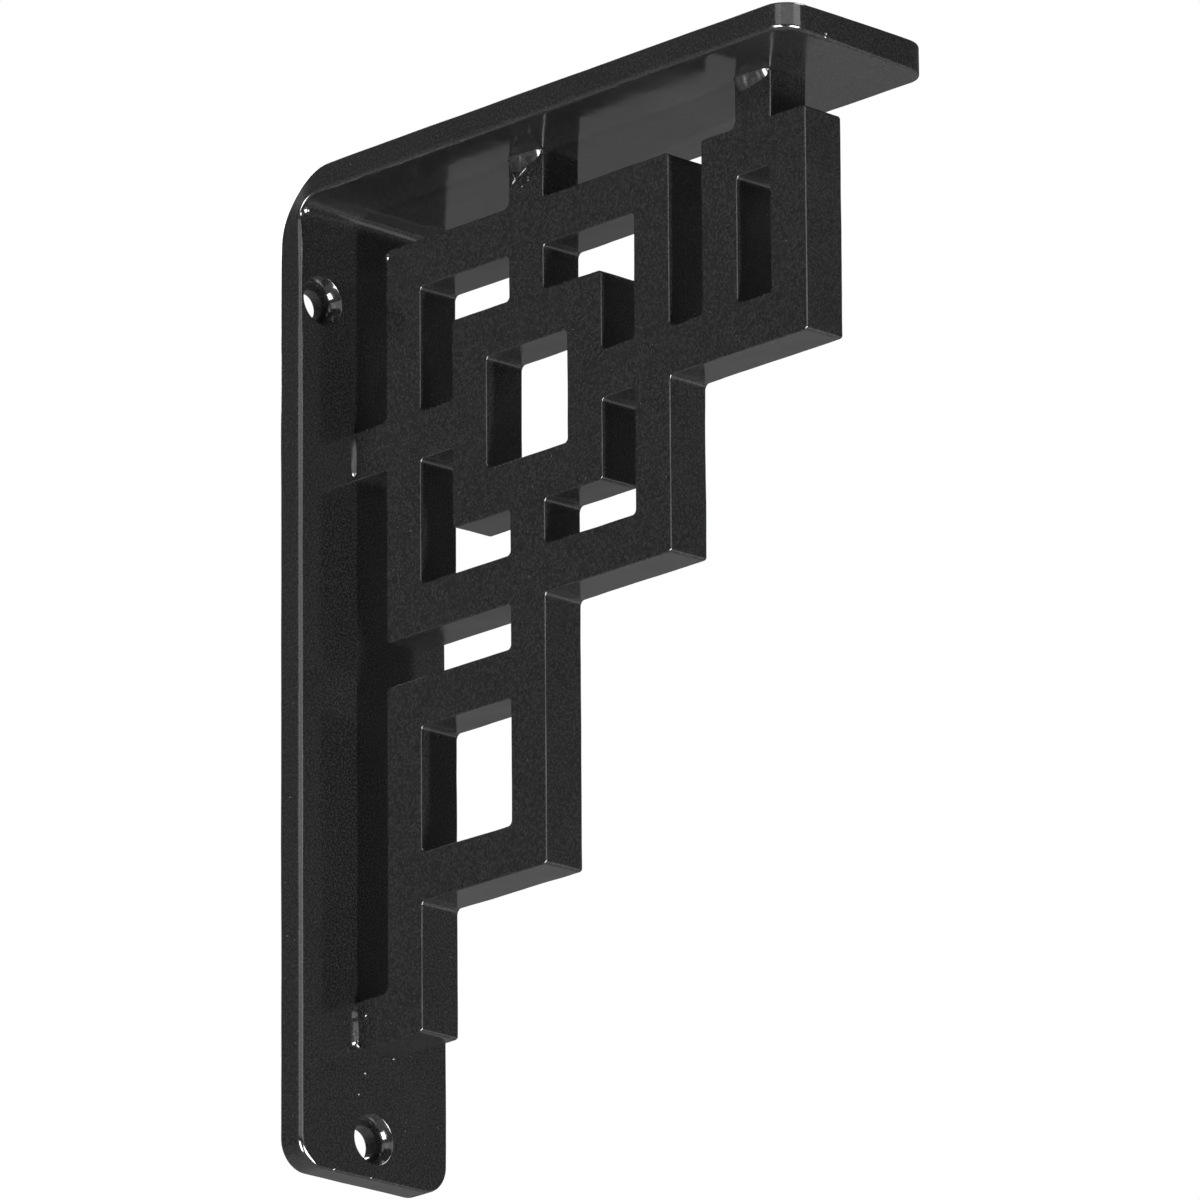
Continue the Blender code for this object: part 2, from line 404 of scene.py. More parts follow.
def ripple(points: np.ndarray, wave: Wave) -> np.ndarray:
    """Work out smooth unevenness: a sum of sine waves in seeded directions, lengths and phases.

    Args:
        points: (n, 3).
        wave: the height and length to give it.

    Returns:
        (n,) heights, whose usual size is wave.height.
    """
    random = np.random.default_rng(wave.seed)
    direction = random.normal(size=(wave.count, 3))
    direction /= np.linalg.norm(direction, axis=1, keepdims=True)
    length = wave.length * random.uniform(*wave.spread, wave.count)
    phase = random.uniform(0, 2 * math.pi, wave.count)
    angle = points @ (direction * (2 * math.pi / length)[:, None]).T + phase
    return wave.height * np.sin(angle).sum(axis=1) / math.sqrt(wave.count / 2)


# Finishes


class Nodes:
    """Short calls that add and link shader nodes in one material."""

    def __init__(self, name: str) -> None:
        """Start a material with its Principled shader and object coordinates.

        Args:
            name: the material's name.
        """
        self.material = bpy.data.materials.new(name)
        self.material.use_nodes = True
        self.tree = self.material.node_tree
        self.shader = self.tree.nodes["Principled BSDF"]
        self.place = self.tree.nodes.new("ShaderNodeTexCoord").outputs["Object"]

    def link(self, source: bpy.types.NodeSocket, target: bpy.types.NodeSocket) -> None:
        """Link two sockets."""
        self.tree.links.new(source, target)

    def add(self, kind: str, **values: float) -> bpy.types.Node:
        """Add a shader node and set its sockets.

        Args:
            kind: the node's type, without the word ShaderNode.
            values: numbers for its sockets, by name, with _ for a space.

        Returns:
            The node.
        """
        node = self.tree.nodes.new("ShaderNode" + kind)
        for socket, value in values.items():
            node.inputs[socket.replace("_", " ")].default_value = value
        return node

    def noise(self, size: float, detail: float) -> bpy.types.NodeSocket:
        """Add noise whose features are about a size wide.

        Args:
            size: the width of a feature in metres.
            detail: how many finer layers it has.

        Returns:
            The noise value, about 0.5 on average.
        """
        node = self.add("TexNoise", Scale=1 / size, Detail=detail)
        self.link(self.place, node.inputs["Vector"])
        return node.outputs["Fac"]

    def specks(self, spacing: float, radius: float) -> bpy.types.NodeSocket:
        """Add round specks: 1 near seeded points, and 0 beyond a radius, with a soft rim.

        Args:
            spacing: the mean distance between specks in metres.
            radius: the radius of a speck.

        Returns:
            The speck mask.
        """
        node = self.add("TexVoronoi", Scale=1 / spacing)
        self.link(self.place, node.inputs["Vector"])
        edge, solid = radius / spacing, 0.7
        return self.spread(node.outputs["Distance"], (edge * solid, edge), (1.0, 0.0))

    def spread(
        self, value: bpy.types.NodeSocket, given: tuple[float, float], wanted: tuple[float, float]
    ) -> bpy.types.NodeSocket:
        """Map a range of values to another, clamped at its ends.

        Args:
            value: the socket to map.
            given: the range that it has.
            wanted: the range that it gets.

        Returns:
            The mapped value.
        """
        (low, high), (first, last) = given, wanted
        node = self.add("MapRange", From_Min=low, From_Max=high, To_Min=first, To_Max=last)
        self.link(value, node.inputs["Value"])
        return node.outputs["Result"]

    def blend(
        self,
        share: bpy.types.NodeSocket,
        first: bpy.types.NodeSocket | tuple[float, float, float],
        second: tuple[float, float, float],
    ) -> bpy.types.NodeSocket:
        """Blend two colours. The node's colour sockets are found by number, as names repeat.

        Args:
            share: 0 gives the first colour and 1 the second.
            first: a colour, or the socket of one.
            second: a colour.

        Returns:
            The blended colour.
        """
        node = self.add("Mix")
        node.data_type = "RGBA"
        factor, colour_a, colour_b = (node.inputs[number] for number in (0, 6, 7))
        self.link(share, factor)
        if isinstance(first, tuple):
            colour_a.default_value = (*first, 1.0)
        else:
            self.link(first, colour_a)
        colour_b.default_value = (*second, 1.0)
        return node.outputs[2]

    def bump(
        self, height: bpy.types.NodeSocket, distance: float, under: bpy.types.NodeSocket | None
    ) -> bpy.types.NodeSocket:
        """Raise the surface by a height map.

        Args:
            height: the map, from 0 to 1.
            distance: how high 1 stands, in metres.
            under: the normal that it is laid on, if any.

        Returns:
            The new normal.
        """
        node = self.add("Bump", Distance=distance)
        self.link(height, node.inputs["Height"])
        if under is not None:
            self.link(under, node.inputs["Normal"])
        return node.outputs["Normal"]


@dataclass(frozen=True)
class BlackPaint:
    """Semi-gloss black paint: cloudy black, a fine grain, small light grey specks and a soft orange
    peel.
    """

    name: str
    black: tuple[float, float, float] = (0.0080, 0.0080, 0.0080)
    cloud: tuple[float, float, float] = (0.0220, 0.0220, 0.0220)
    speck: tuple[float, float, float] = (0.1400, 0.1400, 0.1400)
    gloss: tuple[float, float] = (0.10, 0.17)
    ior: float = 1.48
    noise_range: tuple[float, float] = (0.35, 0.65)
    cloud_size: float = 26 * MM
    grain_size: float = 0.62 * MM
    grain_height: float = 0.004 * MM
    peel_size: float = 3.2 * MM
    peel_height: float = 0.020 * MM
    speck_spacing: float = 5.5 * MM
    speck_radius: float = 0.15 * MM

    def make(self) -> bpy.types.Material:
        """Build the material.

        Returns:
            The procedural paint.
        """
        nodes = Nodes(self.name)
        sockets = nodes.shader.inputs
        grain = nodes.noise(self.grain_size, 2.0)
        cloud = nodes.noise(self.cloud_size, 3.0)
        peel = nodes.noise(self.peel_size, 2.0)
        specks = nodes.specks(self.speck_spacing, self.speck_radius)
        fine = nodes.blend(nodes.spread(grain, self.noise_range, (0.0, 1.0)), self.black, self.cloud)
        nodes.link(nodes.blend(specks, fine, self.speck), sockets["Base Color"])
        nodes.link(nodes.spread(cloud, self.noise_range, self.gloss), sockets["Roughness"])
        sockets["IOR"].default_value = self.ior
        sockets["Metallic"].default_value = 0.0
        normal = nodes.bump(peel, self.peel_height, None)
        normal = nodes.bump(grain, self.grain_height, normal)
        nodes.link(normal, sockets["Normal"])
        return nodes.material


# Pieces


def show(name: str, data: bpy.types.ID) -> bpy.types.Object:
    """Put a mesh, a light or a camera into the scene.

    Args:
        name: the object's name.
        data: what the object holds.

    Returns:
        The object.
    """
    obj = bpy.data.objects.new(name, data)
    bpy.context.scene.collection.objects.link(obj)
    return obj


@dataclass
class Workshop:
    """Turns surfaces into dressed pieces, and keeps count of them."""

    made: list[str] = field(default_factory=list)

    def piece(
        self,
        name: str,
        surface: Surface,
        material: bpy.types.Material,
        replaced: Sequence[str] = (),
        waves: Sequence[Wave] = (),
    ) -> None:
        """Make a surface a piece of the bracket.

        Each point is moved along its own normal by the sum of the waves there.

        Args:
            name: the piece's name.
            surface: its closed mesh.
            material: its finish.
            replaced: the CAD nodes that it stands for.
            waves: the unevenness of its paint.
        """
        mesh = bpy.data.meshes.new(name)
        mesh.from_pydata(surface.points, [], surface.quads.tolist() + surface.triangles.tolist())
        mesh.validate()
        if waves:
            normals = np.zeros(len(surface.points) * 3)
            mesh.vertex_normals.foreach_get("vector", normals)
            height = sum(ripple(surface.points, wave) for wave in waves)
            moved = surface.points + normals.reshape(-1, 3) * height[:, None]
            mesh.vertices.foreach_set("co", moved.ravel())
        mesh.shade_smooth()
        mesh.update()
        mesh.materials.append(material)
        obj = show(name, mesh)
        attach(obj, BODY)
        if replaced:
            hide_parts(*replaced)
        self.made.append(name)
        LOG.info("%s: %d points, %d faces", name, len(mesh.vertices), len(mesh.polygons))


@dataclass
class BentBar:
    """The flat bar: an upright leg and a level arm, bent square, with three sunk screw holes.

    It is drawn unrolled, with u along the bar from the leg's foot, v across it, and depth from the
    room side to the wall side. Then it is bent.
    """

    thickness: float = 8.0 * MM
    outer_radius: float = 18.0 * MM
    inner_radius: float = 4.0 * MM
    edge_inner_radius: float = 6.5 * MM
    near_edge: float = 1.35 * MM
    near_edge_at_hole: float = 0.95 * MM
    hole_reach: float = 9.38 * MM
    far_edge: float = 0.45 * MM
    arm_near_edge: float = 1.6 * MM
    back_edge: tuple[float, float] = (1.1 * MM, 0.5 * MM)
    arm_sag: float = 1.0 * MM
    arm_spread: float = 0.4 * MM
    arm_thinning: float = 0.9 * MM
    side_power: float = 2.5
    foot_edge: float = 0.7 * MM
    foot_drop: float = 0.4 * MM
    foot_radius: float = 8.0 * MM
    tip_radius: float = 7.0 * MM
    upper_bore: float = 3.8 * MM
    lower_bore: float = 4.35 * MM
    mouth: float = 6.7 * MM
    rim: float = 0.35 * MM
    cone: float = 0.3 * MM
    upper_hole_drop: float = 33.5 * MM
    upper_hole_offset: float = 17.4 * MM
    lower_hole_rise: float = 10.4 * MM
    edge_bulge: float = 0.7 * MM
    edge_draw: float = 1.0 * MM
    bulge_reach: float = 11.0 * MM
    pitch: float = 1.6 * MM
    edge_pitch: float = 0.75 * MM
    bend_pitch: float = 0.5 * MM
    bend_margin: float = 4.0 * MM
    keep_share: float = 0.45
    arc_steps: int = 14
    edge_steps: int = 6
    hole_points: int = 84
    waves: tuple[Wave, ...] = (Wave(0.030 * MM, 26 * MM, 11), Wave(0.008 * MM, 7 * MM, 12))

    def __post_init__(self) -> None:
        """Take the bar's height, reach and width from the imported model."""
        low, high = (np.array(corner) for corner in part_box("bent_flat_bar"))
        self.bottom, self.top = low[2], high[2]
        self.reach = high[0]
        self.half_width = high[1]
        self.leg_length = self.top - self.bottom - self.outer_radius
        self.bend_length = QUARTER * self.outer_radius
        self.length = self.leg_length + self.bend_length + self.reach - self.outer_radius
        self.upper_hole = self.top - self.bottom - self.upper_hole_drop

    def bend(self, flat: np.ndarray) -> np.ndarray:
        """Bend the unrolled bar.

        The wall side runs up the leg, round a quarter circle of the outer radius and out along the
        arm. The room side runs alongside it, round a sharper quarter circle between two short
        straights, and its radius grows towards the bar's edges with the fourth power of v. Points
        between the two sides are blended by depth. At the bend the edges bulge sideways on the room
        side and draw in on the wall side, as a bar does when it is bent. The arm's right edge hangs a
        little lower than its left, and the arm is a little thinner at its left, as in the photo. Both
        fade across the arm with a power of the distance from the other edge.

        Args:
            flat: (n, 3) of u, v and depth.

        Returns:
            (n, 3) of x, y and z.
        """
        u, v, depth = flat.T
        along_leg = np.minimum(u, self.leg_length)
        along_arm = np.maximum(u - self.leg_length - self.bend_length, 0.0)
        turned = np.clip((u - self.leg_length) / self.bend_length, 0.0, 1.0)
        z0 = self.bottom + along_leg
        wall_x = self.outer_radius * (1 - np.cos(turned * QUARTER)) + along_arm
        wall_z = z0 + self.outer_radius * np.sin(turned * QUARTER)

        off_centre = np.clip(np.abs(v) / self.half_width, 0.0, 1.0)
        radius = self.inner_radius + (self.edge_inner_radius - self.inner_radius) * off_centre**4
        straight = self.outer_radius - self.thickness - radius
        arc = QUARTER * radius
        run = turned * (2 * straight + arc)
        up = np.minimum(run, straight)
        angle = np.clip((run - straight) / radius, 0.0, QUARTER)
        out = np.maximum(run - straight - arc, 0.0)
        room_x = self.thickness + radius * (1 - np.cos(angle)) + out + along_arm
        room_z = z0 + up + radius * np.sin(angle)

        share = depth / self.thickness
        from_bend = (u - self.leg_length - self.bend_length / 2) / self.bulge_reach
        sideways = np.exp(-(from_bend**2)) * (self.edge_bulge * (1 - share) - self.edge_draw * share)
        y = v + np.sign(v) * sideways * off_centre**3
        x = room_x + (wall_x - room_x) * share
        z = room_z + (wall_z - room_z) * share
        side = 0.5 * np.clip(v / self.half_width, -1.0, 1.0)
        rightness = turned * (0.5 + side) ** self.side_power
        leftness = turned * (0.5 - side) ** self.side_power
        y = y + self.arm_spread * rightness
        z = z - self.arm_sag * rightness + self.arm_thinning * leftness * (1 - share)
        return np.column_stack([x, y, z])

    def edge_profile(self, loop: Loop) -> np.ndarray:
        """Round the bar's edges as in the photo.

        They are rounder on the left than on the right, and roundest under the arm. Beside the upper
        holes the near edge is sharper, by a bell of the fourth power, and so is the foot's end.

        Args:
            loop: the unrolled outline.

        Returns:
            The profile of the edge at every point of the outline.
        """
        u, v = loop.points.T
        left = (1 - v / self.half_width) / 2
        along_arm = np.clip((u - self.leg_length) / self.bend_length - 0.5, 0.0, 1.0)
        at_hole = np.exp(-(((u - self.upper_hole) / self.hole_reach) ** 4))
        on_leg = self.near_edge + (self.near_edge_at_hole - self.near_edge) * at_hole
        near = on_leg + (self.arm_near_edge - on_leg) * along_arm
        front = self.far_edge + (near - self.far_edge) * left
        at_foot = np.clip(1 - u / self.foot_edge, 0.0, 1.0)
        front = front + (self.foot_edge - front) * at_foot
        leg_back, arm_back = self.back_edge
        back = self.far_edge + (leg_back + (arm_back - leg_back) * along_arm - self.far_edge) * left
        return rounded_edge(self.thickness, front, back, self.edge_steps, self.pitch)

    def surface(self) -> Surface:
        """Draw the bar unrolled, with its holes, and bend it.

        Returns:
            The bar's surface.
        """
        half, foot = self.half_width, -self.foot_drop
        corners = [
            (foot, -half, self.foot_radius), (self.length, -half, self.tip_radius),
            (self.length, half, self.tip_radius), (foot, half, self.foot_radius),
        ]
        outline = rounded_loop(corners, self.edge_pitch, self.arc_steps)
        edges = [(outline, self.edge_profile(outline))]
        holes = [
            (self.upper_hole, -self.upper_hole_offset, self.upper_bore),
            (self.upper_hole, self.upper_hole_offset, self.upper_bore),
            (self.lower_hole_rise, 0.0, self.lower_bore),
        ]
        for u, v, bore in holes:
            profile = sunk_edge(self.thickness, self.mouth - bore, self.rim, self.cone, self.arc_steps)
            edges.append((round_hole(u, v, bore, self.hole_points), profile))
        bend_start = self.leg_length - self.bend_margin
        bend_end = self.leg_length + self.bend_length + self.bend_margin
        rows = [
            np.arange(0.0, bend_start, self.pitch),
            np.arange(bend_start, bend_end, self.bend_pitch),
            np.arange(bend_end, self.length, self.pitch),
        ]
        lattice = staggered_lattice(np.concatenate(rows), np.arange(-half, half, self.pitch))
        flat = build_sheet(edges, lattice, self.thickness, self.keep_share * self.pitch)
        return Surface(self.bend(flat.points), flat.quads, flat.triangles)

    def make(self, workshop: Workshop, paint: bpy.types.Material) -> None:
        """Build the bar in its paint."""
        name, nodes = "painted_bent_bar", ("bent_flat_bar",)
        workshop.piece(name, self.surface(), paint, nodes, self.waves)


@dataclass
class OpenworkPlate:
    """The plate of squares: a large ring round a small one, a ring below, one beside, and a stub."""

    bar_thickness: float
    thickness: float = 13.1 * MM
    unit: float = 12.6 * MM
    square_opening: float = 30.8 * MM
    standoff: float = 12.8 * MM
    stub_drop: float = 34.6 * MM
    cut_radius: float = 1.5 * MM
    tab_radius: float = 2.3 * MM
    corner_radius: float = 0.95 * MM
    first_corner_radius: float = 1.52 * MM
    seam_radius: float = 0.3 * MM
    edge_radius: float = 0.85 * MM
    back_edge: float = 0.3 * MM
    taper: float = 0.2 * MM
    root: float = 0.6 * MM
    pitch: float = 1.7 * MM
    edge_pitch: float = 0.9 * MM
    keep_share: float = 0.5
    arc_steps: int = 7
    edge_steps: int = 5
    waves: tuple[Wave, ...] = (Wave(0.030 * MM, 16 * MM, 21), Wave(0.008 * MM, 6 * MM, 22))

    def __post_init__(self) -> None:
        """Work out the lines of the grid from the bar's top and the plate's units."""
        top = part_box("bent_flat_bar")[1][2]
        half_tie = (self.square_opening - self.unit) / 2
        steps = [self.unit] * 3 + [half_tie, self.unit, half_tie] + [self.unit] * 3
        across = np.concatenate([[0.0], np.cumsum(steps)])
        self.xs = self.bar_thickness + self.standoff + across
        self.zs = top - self.bar_thickness - self.standoff - across
        self.arm_z = top - self.bar_thickness
        self.side_xs = self.xs[9] + self.unit * np.arange(1, 5)
        low_top = self.zs[9] - self.unit
        opening = self.xs[4] - self.xs[1]
        self.low_zs = low_top - np.array([0.0, self.unit, self.unit + opening, 2 * self.unit + opening])
        self.foot_z = self.low_zs[3] - self.stub_drop

    def outline(self) -> list[tuple[float, float, float]]:
        """Walk round the plate against the clock, from the foot tab.

        Returns:
            (x, z, radius) corners.
        """
        xs, zs = self.xs, self.zs
        side, low = self.side_xs, self.low_zs
        arm, leg = self.arm_z + self.root, self.bar_thickness - self.root
        s, r, t = self.corner_radius, self.cut_radius, self.tab_radius
        first, seam = self.first_corner_radius, self.seam_radius
        return [
            (leg, self.foot_z, s),
            (xs[1], self.foot_z, s), (xs[1], low[3], r),
            (xs[5], low[3], s), (xs[5], zs[9], r),
            (xs[9], zs[9], s), (xs[9], zs[5], r),
            (side[3], zs[5], s), (side[3], zs[0], s),
            (side[2], zs[0], seam), (side[2], arm, s), (side[1], arm, s), (side[1], zs[0], t),
            (side[0], zs[0], s), (side[0], zs[4], r),
            (xs[9], zs[4], r), (xs[9], zs[0], s),
            (xs[5], zs[0], seam), (xs[5], arm, s), (xs[4], arm, s), (xs[4], zs[0], t),
            (xs[0], zs[0], first), (xs[0], zs[4], t),
            (leg, zs[4], s), (leg, zs[5], s),
            (xs[0], zs[5], seam), (xs[0], zs[9], s),
            (xs[4], zs[9], r), (xs[4], low[0], r),
            (xs[0], low[0], s), (xs[0], self.foot_z + self.unit, t),
            (leg, self.foot_z + self.unit, s),
        ]

    def windows(self) -> list[list[tuple[float, float, float]]]:
        """List the openings with the clock, as (x, z, radius) corners.

        Returns:
            Three rectangles, and an L in each corner between the two rings.
        """
        xs, zs, r = self.xs, self.zs, self.cut_radius
        boxes = [
            (xs[3], zs[6], xs[6], zs[3]),
            (xs[1], self.low_zs[2], xs[4], self.low_zs[1]),
            (self.side_xs[1], zs[4], self.side_xs[2], zs[1]),
        ]
        windows = [
            [(left, low, r), (left, high, r), (right, high, r), (right, low, r)]
            for left, low, right, high in boxes
        ]
        for far_x, near_x, tie_x in ((xs[1], xs[2], xs[4]), (xs[8], xs[7], xs[5])):
            for far_z, near_z, tie_z in ((zs[1], zs[2], zs[4]), (zs[8], zs[7], zs[5])):
                walk = [
                    (far_x, far_z, r), (tie_x, far_z, r), (tie_x, near_z, r),
                    (near_x, near_z, self.corner_radius), (near_x, tie_z, r), (far_x, tie_z, r),
                ]
                clockwise = (far_x < tie_x) == (far_z > tie_z)
                windows.append(walk if clockwise else walk[::-1])
        return windows

    def surface(self) -> Surface:
        """Cut the plate in x and z, with depth towards the left side, and stand it on edge.

        Returns:
            The plate's surface.
        """
        profile = rounded_edge(
            self.thickness, self.edge_radius, self.back_edge, self.edge_steps, self.pitch, self.taper
        )
        shapes = [self.outline(), *self.windows()]
        edges = [(rounded_loop(shape, self.edge_pitch, self.arc_steps), profile) for shape in shapes]
        low, high = edges[0][0].points.min(axis=0), edges[0][0].points.max(axis=0)
        lattice = staggered_lattice(*(np.arange(low[i], high[i], self.pitch) for i in (0, 1)))
        flat = build_sheet(edges, lattice, self.thickness, self.keep_share * self.pitch)
        x, z, depth = flat.points.T
        y = self.thickness / 2 - depth
        return Surface(np.column_stack([x, y, z]), flat.quads, flat.triangles)

    def make(self, workshop: Workshop, paint: bpy.types.Material) -> None:
        """Build the plate in its paint."""
        name, nodes = "painted_openwork_plate", ("openwork_plate",)
        workshop.piece(name, self.surface(), paint, nodes, self.waves)


@dataclass(frozen=True)
class BeadForm:
    """How a weld bead is shaped: its size at its two ends, its section and its roughness.

    Lengths are in mm. A bead runs past_end beyond the tab, and hollow is the power of its section.
    """

    up_tab: tuple[float, float]
    over_bar: tuple[float, float]
    past_end: float
    hollow: float
    rough: float
    seed: int


@dataclass
class Welds:
    """The beads in the corners between the tabs and the bar, two to a tab.

    Those at the arm are ground down, the upper ones on the leg are smooth and the lower ones lumpy.
    """

    plate: OpenworkPlate
    ground: BeadForm = BeadForm((5.6, 2.2), (2.4, 1.4), -0.1, 2.3, 0.06, seed=31)
    chipped: BeadForm = BeadForm((4.8, 2.6), (2.4, 1.5), -0.1, 2.3, 0.05, seed=43)
    smooth: BeadForm = BeadForm((1.5, 1.3), (1.3, 1.2), -0.7, 1.1, 0.06, seed=51)
    lumpy: BeadForm = BeadForm((2.0, 1.5), (1.6, 1.3), -0.6, 1.2, 0.09, seed=64)
    sunk: float = 0.25 * MM
    blunt: float = 0.998
    end_power: float = 5.0
    lump_length: float = 3.6 * MM
    grain_length: float = 1.2 * MM
    grain_share: float = 0.15
    sideways: float = 0.8
    along_steps: int = 72
    round_steps: int = 18

    def bead(
        self,
        start: np.ndarray,
        along: np.ndarray,
        up_tab: np.ndarray,
        over_bar: np.ndarray,
        length: float,
        form: BeadForm,
    ) -> Surface:
        """Make one bead.

        At each place along it the section runs from the bar to the tab: the distance over the bar
        is O cos^p and the distance up the tab U sin^p of an angle from 0 to 90 degrees. p is 1 for
        a round bead and 2 for a flat one. Both fall off near the ends, as the root of 1 less a high
        power of the place, and stop just short of nothing. Ripples are added in the middle of the
        section. The section closes through a point inside the corner.

        Args:
            start: the corner line's first point.
            along: unit vector along the corner.
            up_tab: unit vector up the tab.
            over_bar: unit vector out over the bar.
            length: the tab's width.
            form: the bead's shape.

        Returns:
            The closed bead.
        """
        place = np.linspace(-1, 1, self.along_steps)
        angle = np.linspace(0, QUARTER, self.round_steps)
        taper = np.sqrt(np.maximum(1 - np.abs(place * self.blunt) ** self.end_power, 0.0))
        share = (place + 1) / 2
        up_first, up_last, over_first, over_last, past_end, rough = (
            size * MM for size in (*form.up_tab, *form.over_bar, form.past_end, form.rough)
        )
        up = (up_first + (up_last - up_first) * share) * taper
        over = (over_first + (over_last - over_first) * share) * taper
        run = -past_end + share * (length + 2 * past_end)
        rise = up[:, None] * np.sin(angle) ** form.hollow
        reach = over[:, None] * np.cos(angle) ** form.hollow
        at = run[:, None] + 0 * rise
        middle = np.sin(2 * angle)[None] ** 0.7 * taper[:, None]
        samples = np.stack([at, rise, reach], axis=-1).reshape(-1, 3)
        lumps = ripple(samples, Wave(rough, self.lump_length, form.seed))
        grain = ripple(samples, Wave(self.grain_share * rough, self.grain_length, form.seed + 1))
        lift = (lumps + grain).reshape(rise.shape) * middle
        inner = np.full(len(at), -self.sunk)
        rise = np.column_stack([rise + lift - self.sunk, inner])
        reach = np.column_stack([reach + self.sideways * lift - self.sunk, inner])
        at = np.column_stack([at, run])
        points = start + at[..., None] * along + rise[..., None] * up_tab + reach[..., None] * over_bar
        rows, count = at.shape
        quads = band(np.arange(rows * count).reshape(rows, count), turn_over=True)
        fan = np.arange(1, count - 1)
        first = np.column_stack([np.zeros_like(fan), fan, fan + 1])
        last = first[:, ::-1] + (rows - 1) * count
        triangles = np.vstack([first, last])
        if np.dot(np.cross(along, up_tab), over_bar) > 0:
            quads, triangles = quads[:, ::-1], triangles[:, ::-1]
        return Surface(points.reshape(-1, 3), quads, triangles)

    def make(self, workshop: Workshop, paint: bpy.types.Material) -> None:
        """Build all eight beads, each in the place of its CAD node.

        Args:
            workshop: where pieces are made.
            paint: their finish.
        """
        plate, (x_axis, _, z_axis) = self.plate, np.eye(3)
        leg_x, arm_z = plate.bar_thickness, plate.arm_z
        tabs = [
            ("arm_inner", plate.xs[4], arm_z, x_axis, -z_axis, self.ground),
            ("arm_outer", plate.side_xs[1], arm_z, x_axis, -z_axis, self.chipped),
            ("leg_upper", leg_x, plate.zs[5], z_axis, x_axis, self.smooth),
            ("leg_lower", leg_x, plate.foot_z, z_axis, x_axis, self.lumpy),
        ]
        for label, x, z, along, up_tab, form in tabs:
            for hand in Hand:
                over_bar = np.array([0.0, float(hand.value), 0.0])
                start = np.array([x, hand.value * plate.thickness / 2, z])
                surface = self.bead(start, along, up_tab, over_bar, plate.unit, form)
                corner = f"{label}_{hand.name.lower()}"
                workshop.piece(f"bead_{corner}", surface, paint, (f"weld_{corner}",))


@dataclass(frozen=True)
class Drop:
    """One dome of paint: where it lies from a point of the bracket, its facing and half its size.

    The offset and the half sizes are in mm. The sizes run up the surface, across it and out of it.
    """

    point: tuple[float, float, float]
    offset: tuple[float, float, float]
    facing: tuple[float, float, float]
    size: tuple[float, float, float]
    turn_deg: float = 0.0


